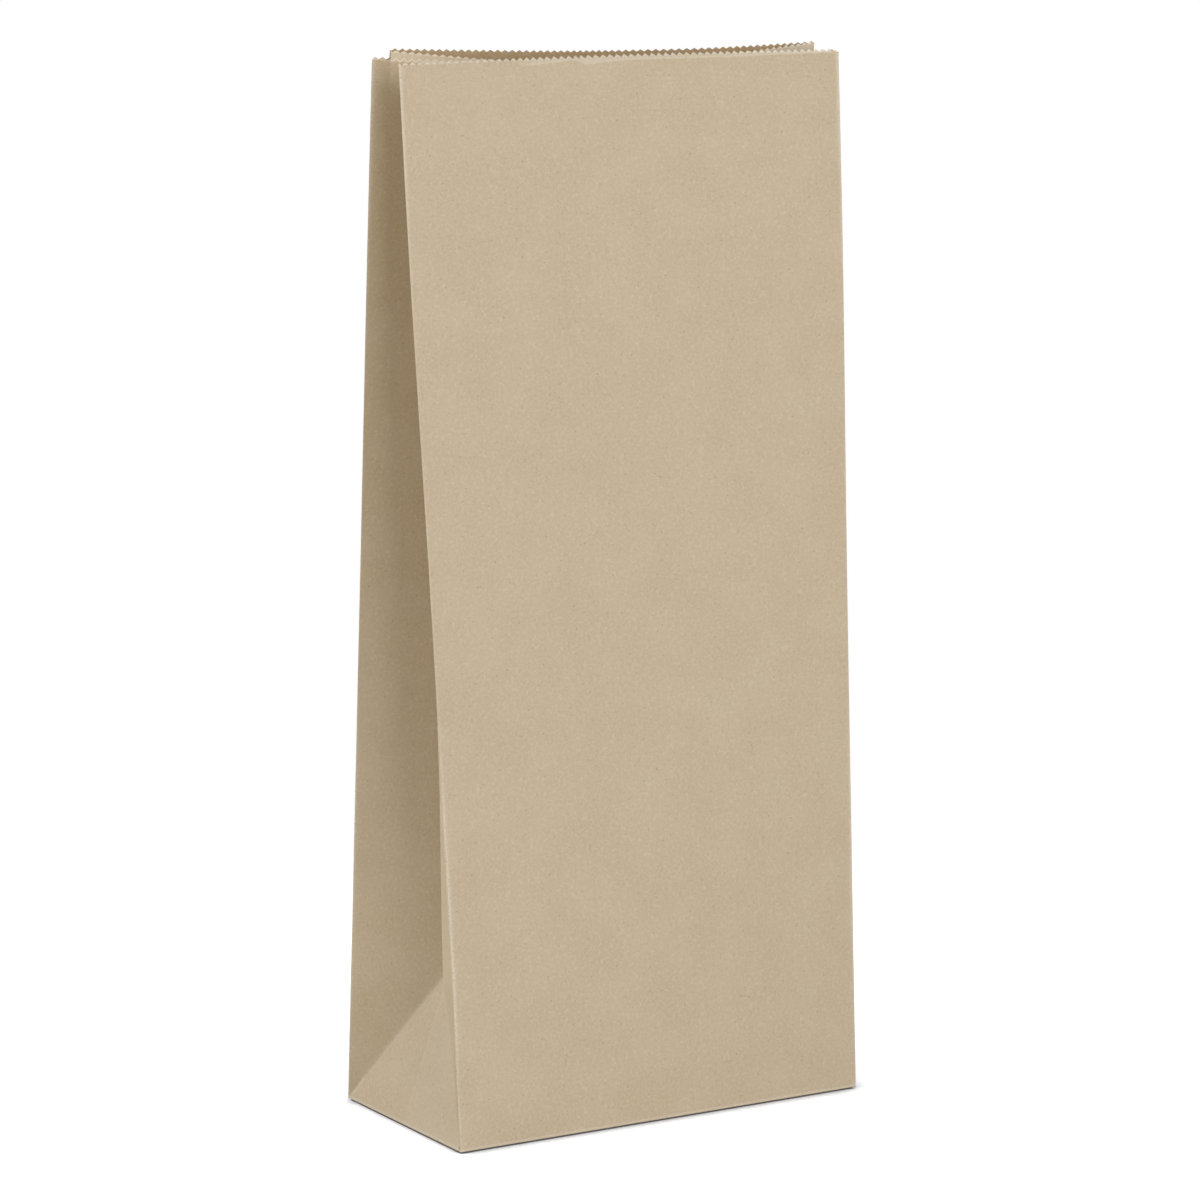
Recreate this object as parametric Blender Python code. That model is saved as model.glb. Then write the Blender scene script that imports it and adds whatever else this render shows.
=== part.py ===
"""Paper lunch bag folded from one sheet, standing open on its block bottom.

Two flat panels are joined by a gusset on each side, which folds inward towards the mouth.
The mouth is cut with small teeth, and the back half of the sheet has a raised lip there.
Metres, +Z up, X along the front panel, Y from the front panel to the back panel.
"""

import math

import bmesh
import bpy
from mathutils import Vector

# The folded sheet
PANEL_WIDTH = 0.1330
GUSSET_WIDTH = 0.0697
FOLD_HEIGHT = 0.2917
WALL = 0.00025

# The block bottom
BASE_TUCK = 0.0030
BASE_SKEW = 0.0033
APEX_HEIGHT = 0.0403

# Where the folds end at the mouth, from the base corner below
FRONT_LEAN = (0.0024, 0.0311)
BACK_LEAN = (-0.0003, -0.0231)
FRONT_TURN = math.radians(-6.8)
BACK_TURN = math.radians(-9.6)
FRONT_RIGHT_RISE = 0.0021
BACK_LEFT_RISE = 0.0012
BACK_RIGHT_RISE = 0.0016

# The cut edge
TOOTH_PITCH = 0.0021
TOOTH_DEPTH = 0.00088
LIP_RISE = 0.0027
LIP_INSET_LEFT = 0.00517
LIP_INSET_RIGHT = 0.0016
LIP_FIRST_PEAK = 0.00147
CREASE_DROP = 0.0036
BACK_SAG = 0.0016
FRONT_CROWN = 0.0004
CUT_MARGIN = 0.0100

# How far the paper stands off its flat folds
FRONT_HALF_BULGE = 0.0036
BACK_HALF_BULGE = 0.0012
BULGE_HEIGHT = 0.0950
BACK_WAVE = 0.0040
BACK_DISH = 0.0011
WAVE_PLACE = 0.0750
WAVE_REACH = 0.0170

# How finely the sheet is divided
PANEL_COLUMNS = 9
GUSSET_COLUMNS = 5
TRIANGLE_COLUMNS = 4
APEX_LEVELS = 4
WALL_LEVELS = 9

PAPER_COLOUR = (0.533, 0.434, 0.301, 1.0)
PAPER_ROUGHNESS = 0.85


def clear_scene():
    """Removes every object of the start scene."""
    for item in list(bpy.data.objects):
        bpy.data.objects.remove(item, do_unlink=True)


def turned(length, angle):
    """A level vector of this length, turned from +X by the angle."""
    return Vector((length * math.cos(angle), length * math.sin(angle), 0.0))


class Folds:
    """The four long folds, from the base corners to the mouth."""

    def __init__(self):
        base_width = PANEL_WIDTH - BASE_TUCK
        left = -base_width / 2
        half_depth = GUSSET_WIDTH / 2
        self.base = {
            "front_left": Vector((left, -half_depth, 0.0)),
            "front_right": Vector((left + base_width, -half_depth, 0.0)),
            "back_left": Vector((left + BASE_SKEW, half_depth, 0.0)),
            "back_right": Vector((left + BASE_SKEW + base_width, half_depth, 0.0)),
        }
        front = self.base["front_left"] + Vector((*FRONT_LEAN, FOLD_HEIGHT))
        back = self.base["back_left"] + Vector((*BACK_LEAN, FOLD_HEIGHT + BACK_LEFT_RISE))
        front_right = front + turned(PANEL_WIDTH, FRONT_TURN)
        front_right.z = FOLD_HEIGHT + FRONT_RIGHT_RISE
        back_right = back + turned(PANEL_WIDTH, BACK_TURN)
        back_right.z = FOLD_HEIGHT + BACK_RIGHT_RISE
        self.mouth = {
            "front_left": front,
            "front_right": front_right,
            "back_left": back,
            "back_right": back_right,
        }

    def at(self, name, height):
        """The point of the fold at this height."""
        start = self.base[name]
        end = self.mouth[name]
        return start.lerp(end, height / end.z)


FOLDS = Folds()


def bulge_share(height):
    """How much of the full bulge the gusset has at this height: 0 at the base, 1 at BULGE_HEIGHT."""
    share = height / BULGE_HEIGHT
    return (share * math.exp(1 - share)) ** 2


def crease(side, height):
    """The gusset's centre crease at this height, half a gusset away from both folds."""
    front = FOLDS.at("front_" + side, height)
    back = FOLDS.at("back_" + side, height)
    other = "right" if side == "left" else "left"
    far = (FOLDS.at("front_" + other, height) + FOLDS.at("back_" + other, height)) / 2
    middle = (front + back) / 2
    half_gap = (back - front).length / 2
    bulge = FRONT_HALF_BULGE * bulge_share(height)
    chord = GUSSET_WIDTH / 2 - 16 * bulge**2 / (3 * GUSSET_WIDTH)
    inset = math.sqrt(max(chord**2 - half_gap**2, 0.0))
    return middle + (far - middle).normalized() * inset


def half_end(side, edge, height):
    """Where a gusset half ends: at the crease, or below the apex at the bottom triangle's edge."""
    if height >= APEX_HEIGHT:
        return crease(side, height)
    start = FOLDS.base[f"{edge}_{side}"]
    return start.lerp(crease(side, APEX_HEIGHT), height / APEX_HEIGHT)


def half_point(side, edge, share, height):
    """A point of a gusset half, which bows out a little between its fold and its end."""
    start = FOLDS.at(f"{edge}_{side}", height)
    end = half_end(side, edge, height)
    along = end - start
    full = FRONT_HALF_BULGE if edge == "front" else BACK_HALF_BULGE
    bow = full * bulge_share(height) * (along.length / (GUSSET_WIDTH / 2)) ** 2
    away = Vector((-along.y, along.x, 0.0))
    if (edge == "front") != (side == "left"):
        away.negate()
    if away.length > 0:
        away.normalize()
    return start + along * share + away * (4 * bow * share * (1 - share))


def front_point(share, height):
    """A point of the front panel, which is flat."""
    return FOLDS.at("front_left", height).lerp(FOLDS.at("front_right", height), share)


def back_point(share, height):
    """A point of the back panel, which waves a little near the mouth."""
    left = FOLDS.at("back_left", height)
    right = FOLDS.at("back_right", height)
    place = (share * PANEL_WIDTH - WAVE_PLACE) / WAVE_REACH
    ends = math.sin(math.pi * share)
    offset = BACK_WAVE * math.exp(-place * place) * ends - BACK_DISH * ends
    offset *= (height / FOLD_HEIGHT) ** 3
    return left.lerp(right, share) + Vector((0.0, offset, 0.0))


def tooth(place, first_peak):
    """Height of the cut edge over its middle line, at this distance from the panel's left fold."""
    phase = ((place - first_peak) / TOOTH_PITCH) % 1.0
    return TOOTH_DEPTH * (abs(phase - 0.5) * 2 - 0.5)


def tooth_places(start, end, first_peak):
    """The peaks and valleys between two distances, with the two ends."""
    step = TOOTH_PITCH / 2
    spare = step / 4
    index = math.ceil((start + spare - first_peak) / step)
    places = [start]
    while first_peak + index * step < end - spare:
        places.append(first_peak + index * step)
        index += 1
    places.append(end)
    return places


def cut_profile(width, lip_left=None, lip_right=None):
    """(distance, rise) along a panel's cut edge, with the lip between two distances from the left."""
    def toothed(start, end, first_peak, rise):
        return [(place, rise + tooth(place, first_peak)) for place in tooth_places(start, end, first_peak)]

    if lip_left is None:
        points = toothed(0.0, width, 0.0, 0.0)
    else:
        first = lip_left + LIP_FIRST_PEAK
        points = toothed(0.0, lip_left, 0.0, 0.0) + toothed(lip_left, lip_right, first, LIP_RISE)
        if lip_right < width:
            points += toothed(lip_right, width, 0.0, 0.0)
    return points


def seen_from_right(width, profile):
    """The same cut edge, measured from the panel's other end."""
    return [(width - place, rise) for place, rise in reversed(profile)]


class Sheet:
    """The bag's outer surface, built as one open mesh with its faces pointing out."""

    def __init__(self):
        self.mesh = bmesh.new()
        self.known = {}
        self.last_level = FOLD_HEIGHT - CUT_MARGIN
        lower = [APEX_HEIGHT * step / APEX_LEVELS for step in range(APEX_LEVELS)]
        upper = self.last_level - APEX_HEIGHT
        self.levels = lower + [APEX_HEIGHT + upper * step / WALL_LEVELS for step in range(WALL_LEVELS + 1)]

    def vertex(self, point):
        """The mesh's vertex at this point, made once."""
        key = tuple(round(value * 1e6) for value in point)
        if key not in self.known:
            self.known[key] = self.mesh.verts.new(point)
        return self.known[key]

    def face(self, points):
        """A face over these points, leaving out repeats."""
        corners = []
        for point in points:
            corner = self.vertex(point)
            if corner not in corners:
                corners.append(corner)
        if len(corners) > 2:
            self.mesh.faces.new(corners)

    def strip(self, place, shares, levels):
        """Quads of a panel between its columns and levels."""
        for low, high in zip(levels, levels[1:]):
            for left, right in zip(shares, shares[1:]):
                self.face((place(left, low), place(right, low), place(right, high), place(left, high)))

    def cut_edge(self, place, shares, width, profile, cut_at, lip_end=None):
        """The top strip of a panel, up to its toothed edge.

        lip_end is the share at which a lip ends on a crease, over the next half's low edge.
        """
        for left, right in zip(shares, shares[1:]):
            edge = [point for point in profile if left * width - 1e-9 <= point[0] <= right * width + 1e-9]
            corners = [place(left, self.last_level), place(right, self.last_level)]
            for distance, rise in reversed(edge):
                share = distance / width
                height = cut_at(share) + rise
                inner = (share - left) / (right - left)
                corners.append(place(left, height).lerp(place(right, height), inner))
            if lip_end == left:
                corners.append(place(left, cut_at(left) + LOW_END_RISE))
            if lip_end == right:
                corners.insert(2, place(right, cut_at(right) + LOW_END_RISE))
            self.face(corners)


def shares_of(width, columns, profile):
    """Column places, each on a tooth's peak or valley, so that the cut edge meets them."""
    places = sorted({place for place, _ in profile})
    wanted = [width * step / columns for step in range(1, columns)]
    inner = {min(places, key=lambda place: abs(place - want)) for want in wanted}
    inner -= {places[0], places[-1]}
    return [0.0] + [place / width for place in sorted(inner)] + [1.0]


def between(start, end, bow=0.0):
    """A height function from one height to another, bowed up in the middle by so much."""
    return lambda share: start + (end - start) * share + bow * math.sin(math.pi * share)


def add_panel(sheet, place, profile, cut_at):
    """One of the two wide panels."""
    shares = shares_of(PANEL_WIDTH, PANEL_COLUMNS, profile)
    sheet.strip(place, shares, sheet.levels)
    sheet.cut_edge(place, shares, PANEL_WIDTH, profile, cut_at)


def add_gusset(sheet, side):
    """The gusset of one side: two halves, and the bottom triangle between them."""
    half = GUSSET_WIDTH / 2
    inset = LIP_INSET_LEFT if side == "left" else LIP_INSET_RIGHT
    for edge in ("front", "back"):
        top = FOLDS.mouth[f"{edge}_{side}"].z
        raised = edge == "back"
        profile = cut_profile(half, inset, half) if raised else cut_profile(half)
        shares = shares_of(half, GUSSET_COLUMNS, profile)
        # Seen from outside, the sheet runs from the back fold to the front fold on the left side.
        outward = (edge == "back") == (side == "left")
        if outward:
            def place(share, height, edge=edge):
                return half_point(side, edge, share, height)
            sheet.strip(place, shares, sheet.levels)
            cut_at = between(top, top - CREASE_DROP)
            sheet.cut_edge(place, shares, half, profile, cut_at, 1.0 if raised else None)
        else:
            def place(share, height, edge=edge):
                return half_point(side, edge, 1.0 - share, height)
            flipped = [1.0 - share for share in reversed(shares)]
            sheet.strip(place, flipped, sheet.levels)
            cut_at = between(top - CREASE_DROP, top)
            mirrored = seen_from_right(half, profile)
            sheet.cut_edge(place, flipped, half, mirrored, cut_at, 0.0 if raised else None)
    first, last = ("back", "front") if side == "left" else ("front", "back")
    columns = [step / TRIANGLE_COLUMNS for step in range(TRIANGLE_COLUMNS + 1)]
    sheet.strip(
        lambda share, height: half_end(side, first, height).lerp(half_end(side, last, height), share),
        columns,
        sheet.levels[: APEX_LEVELS + 1],
    )


def add_floor(sheet):
    """The flat bottom, facing down, with the edge points of the walls in it."""
    columns = [step / TRIANGLE_COLUMNS for step in range(TRIANGLE_COLUMNS + 1)]
    front = [front_point(share, 0.0) for share in shares_of(PANEL_WIDTH, PANEL_COLUMNS, FRONT_CUT)]
    back = [back_point(share, 0.0) for share in shares_of(PANEL_WIDTH, PANEL_COLUMNS, BACK_CUT)]
    right = [front[-1].lerp(back[-1], share) for share in columns[1:-1]]
    left = [back[0].lerp(front[0], share) for share in columns[1:-1]]
    ring = front + right + list(reversed(back)) + left
    sheet.face(list(reversed(ring)))


LOW_END_RISE = tooth(GUSSET_WIDTH / 2, 0.0)
FRONT_CUT = cut_profile(PANEL_WIDTH)
BACK_CUT = cut_profile(PANEL_WIDTH, LIP_INSET_LEFT, PANEL_WIDTH - LIP_INSET_RIGHT)


def make_sheet():
    """The outer surface of the whole bag."""
    sheet = Sheet()
    mouth = FOLDS.mouth
    front_cut_at = between(mouth["front_left"].z, mouth["front_right"].z, FRONT_CROWN)
    add_panel(sheet, front_point, FRONT_CUT, front_cut_at)
    add_gusset(sheet, "right")
    add_panel(
        sheet,
        lambda share, height: back_point(1.0 - share, height),
        seen_from_right(PANEL_WIDTH, BACK_CUT),
        between(mouth["back_right"].z, mouth["back_left"].z, -BACK_SAG),
    )
    add_gusset(sheet, "left")
    add_floor(sheet)
    return sheet.mesh


def paper_material():
    """Plain kraft paper."""
    material = bpy.data.materials.new("kraft_paper")
    material.use_nodes = True
    shader = material.node_tree.nodes["Principled BSDF"]
    shader.inputs["Base Color"].default_value = PAPER_COLOUR
    shader.inputs["Roughness"].default_value = PAPER_ROUGHNESS
    shader.inputs["Metallic"].default_value = 0.0
    return material


def make_bag():
    """The bag as one closed solid: the folded sheet with the paper's thickness inside it."""
    outer = make_sheet()
    low = Vector([min(vertex.co[axis] for vertex in outer.verts) for axis in range(3)])
    high = Vector([max(vertex.co[axis] for vertex in outer.verts) for axis in range(3)])
    centre = (low + high) / 2
    bmesh.ops.translate(outer, verts=outer.verts, vec=(-centre.x, -centre.y, 0.0))
    mesh = bpy.data.meshes.new("paper_bag")
    outer.to_mesh(mesh)
    outer.free()
    mesh.materials.append(paper_material())
    bag = bpy.data.objects.new("paper_bag", mesh)
    bpy.context.scene.collection.objects.link(bag)
    wall = bag.modifiers.new("paper_thickness", "SOLIDIFY")
    wall.thickness = WALL
    wall.offset = -1.0
    wall.use_even_offset = True
    wall.use_rim = True
    return bag


clear_scene()
make_bag()
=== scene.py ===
"""Studio scene of a folded kraft paper lunch bag.

The bag is one sheet of paper. It starts as a flat grid in which each column is a place round the
bag and each row a height, and it is folded from there: two wide panels, two gussets with creases,
a block bottom and a toothed cut at the mouth. Metres, +Z up, X along the front panel.
"""

import logging
import math
from collections.abc import Iterator
from dataclasses import dataclass, field, replace
from enum import Enum
from typing import Any

import bmesh
import bpy
import numpy as np
from mathutils import Matrix, Vector


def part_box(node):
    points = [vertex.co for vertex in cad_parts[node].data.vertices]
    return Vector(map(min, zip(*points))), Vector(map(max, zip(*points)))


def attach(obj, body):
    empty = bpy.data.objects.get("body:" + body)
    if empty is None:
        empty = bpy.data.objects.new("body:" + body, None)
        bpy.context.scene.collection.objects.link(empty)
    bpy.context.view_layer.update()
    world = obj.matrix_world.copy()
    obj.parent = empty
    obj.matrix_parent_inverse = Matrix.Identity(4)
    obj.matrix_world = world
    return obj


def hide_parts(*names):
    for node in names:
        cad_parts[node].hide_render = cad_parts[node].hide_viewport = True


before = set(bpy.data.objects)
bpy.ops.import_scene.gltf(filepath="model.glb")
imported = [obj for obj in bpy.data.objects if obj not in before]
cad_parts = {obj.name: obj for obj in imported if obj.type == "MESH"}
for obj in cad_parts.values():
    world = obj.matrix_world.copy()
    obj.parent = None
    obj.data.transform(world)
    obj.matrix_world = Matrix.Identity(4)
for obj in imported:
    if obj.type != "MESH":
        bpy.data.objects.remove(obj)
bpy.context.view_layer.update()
CAD_NODE = "paper_bag"

logging.basicConfig(level=logging.INFO, format="%(message)s")
LOG = logging.getLogger("lunch_bag")

MM = 0.001
TINY = 1e-9
ON_LINE = 0.00001
FOLD_ANGLE = math.radians(32)
BAG_MIDDLE = (0.0, 0.0, 0.14)
FLAT_SCALE = 0.1
FAR = 0.012
DISTANCES = ("fold", "crease", "back_diagonal", "edge", "base", "mark", "band", "lip")

Array = np.ndarray
Pair = tuple[float, float]
Colour = tuple[float, float, float, float]
WHITE: Colour = (1.0, 1.0, 1.0, 1.0)
BLACK: Colour = (0.0, 0.0, 0.0, 1.0)


class Panel(Enum):
    """The parts of the sheet, in the order in which they lie round the bag from the glued seam."""

    BACK_FROM_SEAM = "back_from_seam"
    LEFT_BACK_HALF = "left_back_half"
    LEFT_FRONT_HALF = "left_front_half"
    FRONT = "front"
    RIGHT_FRONT_HALF = "right_front_half"
    RIGHT_BACK_HALF = "right_back_half"
    BACK_TO_SEAM = "back_to_seam"

    @property
    def is_half(self) -> bool:
        """Whether it is half of a gusset."""
        return self.value.endswith("half")

    @property
    def side(self) -> str:
        """The side that a gusset half is on."""
        return self.value.split("_")[0]

    @property
    def edge(self) -> str:
        """Whether it belongs to the front or to the back."""
        return "front" if "front" in self.value else "back"


@dataclass(frozen=True)
class BagSizes:
    """Sizes of the folded bag, as the solid has them."""

    panel_width: float = 0.1330
    gusset_width: float = 0.0697
    fold_height: float = 0.2917
    base_tuck: float = 0.0030
    base_skew: float = 0.0033
    apex_height: float = 0.0415
    front_lean: Pair = (0.0024, 0.0311)
    back_lean: Pair = (-0.0003, -0.0231)
    front_turn: float = math.radians(-6.8)
    back_turn: float = math.radians(-9.6)
    front_right_rise: float = 0.0021
    back_left_rise: float = 0.0012
    back_right_rise: float = 0.0016
    tooth_pitch: float = 0.0021
    tooth_depth: float = 0.00062
    front_tooth_depth: float = 0.00085
    low_rise: float = 0.0003
    low_rise_reach: float = 0.0010
    lip_rise: float = 0.0027
    lip_step: float = 0.00002
    lip_inset_left: float = 0.00517
    lip_inset_right: float = 0.0016
    lip_first_peak: float = 0.00147
    crease_drop: float = 0.0036
    back_sag: float = 0.0016
    back_swing: float = 0.00016
    foot_reach: float = 0.0008
    foot_span: Pair = (0.008, 0.050)
    bow_height: float = 0.240
    bow_reach: float = 0.070
    front_crown: float = 0.0004
    front_half_bulge: float = 0.0036
    back_half_bulge: float = 0.0012
    bulge_height: float = 0.0950
    back_wave: float = 0.0040
    back_dish: float = 0.0011
    wave_place: float = 0.0750
    wave_reach: float = 0.0170

    @property
    def half(self) -> float:
        """Width of one gusset half."""
        return self.gusset_width / 2


@dataclass(frozen=True)
class SheetSizes:
    """Sizes of the paper itself, and how finely it is divided."""

    paper: float = 0.00018
    fold_radius: float = 0.00040
    base_radius: float = 0.00035
    base_lift: float = 0.00040
    seam_place: float = 0.0420
    seam_lap: float = 0.0120
    seam_step: float = 0.0040
    seam_rise: float = 1.25
    ripple: float = 0.00022
    ripple_free: Pair = (0.0005, 0.012)
    ripple_above_base: Pair = (0.002, 0.025)
    ripple_off_diagonal: Pair = (0.001, 0.010)
    corner_drop: float = 0.0008
    corner_reach: float = 0.0013
    wall_least: float = 0.12
    wall_span: Pair = (0.0004, 0.0016)
    mark_height: float = 0.45
    mark_depth: float = 0.0009
    pinhole: Pair = (0.0008, 0.0009)
    band_tilt: float = math.radians(36.0)
    band_start: Pair = (0.033, 0.045)
    band_places: tuple[float, ...] = (
        0.0330, 0.0356, 0.0443, 0.0520, 0.0550, 0.0600, 0.0680, 0.1040, 0.1140, 0.1330,
    )
    band_widths: tuple[float, ...] = (
        0.0, 0.0019, 0.00125, 0.00065, 0.0021, 0.0015, 0.0012, 0.0011, 0.0008, 0.0006,
    )
    body_rows: int = 52
    body_margin: float = 0.002
    foot_rows: tuple[float, ...] = (0.0, 0.12, 0.3, 0.6)
    column_gaps: tuple[float, ...] = (0.0, 0.00015, 0.0003, 0.00055)
    least_gap: float = 0.000035
    side_step: float = 0.0003
    lip_fade: Pair = (0.00055, 0.005)
    edge_gaps: tuple[float, ...] = (
        0.00055, 0.00085, 0.0012, 0.0016, 0.00205, 0.0025, 0.0030,
        0.0036, 0.0044, 0.0055, 0.0070, 0.0090, 0.0120, 0.0160,
    )


@dataclass(frozen=True)
class FoldBow:
    """How far a long fold stands to the right of a straight line: at its foot, and at the most."""

    foot: float
    full: float


FOLD_BOWS = {
    "front_left": FoldBow(0.0, -0.00066),
    "back_left": FoldBow(-0.00036, -0.00054),
    "front_right": FoldBow(0.00034, 0.00098),
    "back_right": FoldBow(0.00020, 0.00020),
}


@dataclass(frozen=True)
class Ripple:
    """One long shallow wave in the paper: its turns across and up, its start and its weight."""

    across: float
    up: float
    phase: float
    weight: float


RIPPLES = (
    Ripple(41.0, 17.0, 0.4, 0.42),
    Ripple(-67.0, 38.0, 1.9, 0.26),
    Ripple(96.0, 61.0, 4.1, 0.18),
    Ripple(23.0, -84.0, 2.7, 0.30),
)


@dataclass(frozen=True)
class HandledTone:
    """How much painted shade darkens the strip beside the left front fold, and painted light pales
    its triangle.
    """

    strip: float = 0.20
    foot: float = 0.28
    triangle: float = -0.14
    start: float = 0.012
    end: float = 0.190
    foot_span: Pair = (0.6, 1.3)


def smooth_step(low: float, high: float, value: Any) -> Any:
    """0 at low and 1 at high, with an S-shaped rise between."""
    share = np.clip((value - low) / (high - low), 0.0, 1.0)
    return share * share * (3 - 2 * share)


def blend(start: Array, end: Array, share: Array) -> Array:
    """Points on the way from start to end, by a share for each."""
    return start + (end - start) * share[:, None]


def unit(vectors: Array) -> Array:
    """The same directions with length 1, or nothing where there is no direction."""
    length = np.linalg.norm(vectors, axis=1, keepdims=True)
    return vectors / np.maximum(length, 1e-12)


@dataclass
class BagForm:
    """The folded shape: where any place on the sheet lies at any height."""

    sizes: BagSizes = field(default_factory=BagSizes)
    base: dict[str, Array] = field(init=False, default_factory=dict)
    mouth: dict[str, Array] = field(init=False, default_factory=dict)

    def __post_init__(self) -> None:
        """Works out the corners of the base and of the mouth, from the solid's left side."""
        s = self.sizes
        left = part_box(CAD_NODE)[0][0]
        along = np.array((s.panel_width - s.base_tuck, 0.0, 0.0))
        plan = (
            ("front", left, -s.half, s.front_lean, s.front_turn, 0.0, s.front_right_rise),
            ("back", left + s.base_skew, s.half, s.back_lean, s.back_turn,
             s.back_left_rise, s.back_right_rise),
        )
        for edge, x, y, lean, turn, left_rise, right_rise in plan:
            corner = np.array((x, y, 0.0))
            top = corner + np.array((*lean, s.fold_height + left_rise))
            far = top + s.panel_width * np.array((math.cos(turn), math.sin(turn), 0.0))
            far[2] = s.fold_height + right_rise
            self.base[f"{edge}_left"], self.base[f"{edge}_right"] = corner, corner + along
            self.mouth[f"{edge}_left"], self.mouth[f"{edge}_right"] = top, far
        self.base["front_left"] = self.base["front_left"] - np.array((s.foot_reach, 0.0, 0.0))

    def fold(self, name: str, height: Array) -> Array:
        """The points of a long fold.

        Args:
            name: The fold's corner, such as "front_left".
            height: Heights above the table.

        Returns:
            One point for each height.
        """
        s = self.sizes
        start, end = self.base[name], self.mouth[name]
        points = start + (end - start) * (height / end[2])[:, None]
        bow, off = FOLD_BOWS[name], (height - s.bow_height) / s.bow_reach
        points[:, 0] += bow.foot + (bow.full - bow.foot) * np.exp(-off * off)
        if name == "front_left":
            points[:, 0] += s.foot_reach * (smooth_step(*s.foot_span, height) - height / end[2])
        return points

    def bulge_share(self, height: Array) -> Array:
        """How much of its full bulge a gusset half has at each height."""
        share = height / self.sizes.bulge_height
        return (share * np.exp(1 - share)) ** 2

    def crease(self, side: str, height: Array) -> Array:
        """A gusset's centre crease, half a gusset away from both folds.

        Args:
            side: "left" or "right".
            height: Heights above the table.

        Returns:
            One point for each height.
        """
        s = self.sizes
        other = "right" if side == "left" else "left"
        front, back = self.fold("front_" + side, height), self.fold("back_" + side, height)
        far = (self.fold("front_" + other, height) + self.fold("back_" + other, height)) / 2
        middle = (front + back) / 2
        half_gap = np.linalg.norm(back - front, axis=1) / 2
        bulge = s.front_half_bulge * self.bulge_share(height)
        chord = s.half - 8 * bulge**2 / (3 * s.half)
        inset = np.sqrt(np.maximum(chord**2 - half_gap**2, 0.0))
        return middle + unit(far - middle) * inset[:, None]

    def half_end(self, side: str, edge: str, height: Array) -> Array:
        """Where a gusset half ends: at the crease, or lower down at the bottom triangle's edge.

        Args:
            side: "left" or "right".
            edge: "front" or "back".
            height: Heights above the table.

        Returns:
            One point for each height.
        """
        apex_height = self.sizes.apex_height
        apex = self.crease(side, np.array([apex_height]))[0]
        start = self.base[f"{edge}_{side}"]
        low = start + (apex - start) * np.minimum(height / apex_height, 1.0)[:, None]
        return np.where((height >= apex_height)[:, None], self.crease(side, height), low)

    def gusset_half(self, side: str, edge: str, distance: Array, height: Array) -> Array:
        """Points of a gusset half and of the half triangle under it.

        Args:
            side: "left" or "right".
            edge: "front" or "back", the fold that distance is measured from.
            distance: Distance over the paper from that fold.
            height: Height above the table.

        Returns:
            One point for each distance and height.
        """
        s = self.sizes
        start = self.fold(f"{edge}_{side}", height)
        end = self.half_end(side, edge, height)
        reach = s.half * np.minimum(height / s.apex_height, 1.0)
        share = np.clip(distance / np.maximum(reach, TINY), 0.0, 1.0)
        along = end - start
        length = np.linalg.norm(along, axis=1)
        full = s.front_half_bulge if edge == "front" else s.back_half_bulge
        bow = full * self.bulge_share(height) * (length / s.half) ** 2
        away = unit(np.stack((-along[:, 1], along[:, 0], np.zeros(len(along))), axis=1))
        if (edge == "front") != (side == "left"):
            away = -away
        upper = start + along * share[:, None] + away * (4 * bow * share * (1 - share))[:, None]
        opposite = self.half_end(side, "back" if edge == "front" else "front", height)
        rest = np.clip((distance - reach) / np.maximum(s.half - reach, TINY), 0.0, 1.0)
        lower = blend(end, (end + opposite) / 2, rest)
        return np.where((distance > reach)[:, None], lower, upper)

    def panel(self, edge: str, distance: Array, height: Array) -> Array:
        """Points of a wide panel.

        Args:
            edge: "front" or "back".
            distance: Distance over the paper from its left fold.
            height: Height above the table.

        Returns:
            One point for each distance and height.
        """
        s = self.sizes
        share = distance / s.panel_width
        points = blend(self.fold(f"{edge}_left", height), self.fold(f"{edge}_right", height), share)
        if edge == "back":
            ends = np.sin(np.pi * np.clip(share, 0.0, 1.0))
            place = (distance - s.wave_place) / s.wave_reach
            offset = (s.back_wave * np.exp(-place * place) - s.back_dish) * ends
            points[:, 1] += offset * (height / s.fold_height) ** 3
        return points

    def cut_height(self, edge: str, share: Array) -> Array:
        """Height of the low cut across a wide panel.

        Args:
            edge: "front" or "back".
            share: Places across the panel, from 0 at its left fold to 1.

        Returns:
            One height for each place.
        """
        s = self.sizes
        start, end = self.mouth[f"{edge}_left"][2], self.mouth[f"{edge}_right"][2]
        bow, swing = (s.front_crown, 0.0) if edge == "front" else (-s.back_sag, s.back_swing)
        level = start + (end - start) * share
        return level + bow * np.sin(np.pi * share) + swing * np.sin(2 * np.pi * share)


@dataclass(frozen=True)
class Strip:
    """One panel's stretch of the sheet."""

    panel: Panel
    start: float
    length: float
    first: float
    sign: int

    def distance(self, girth: Any) -> Any:
        """Distance from the fold that the panel is measured from."""
        return self.first + self.sign * (girth - self.start)

    def place(self, distance: float) -> float:
        """The place round the sheet at a distance from that fold."""
        return self.start + (distance - self.first) * self.sign

    def holds(self, girth: Array) -> Array:
        """Which places lie in the strip. A fold belongs to the strip that it starts."""
        last = self.panel is Panel.BACK_TO_SEAM
        return (girth >= self.start - TINY) & ((girth < self.start + self.length - TINY) | last)


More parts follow.
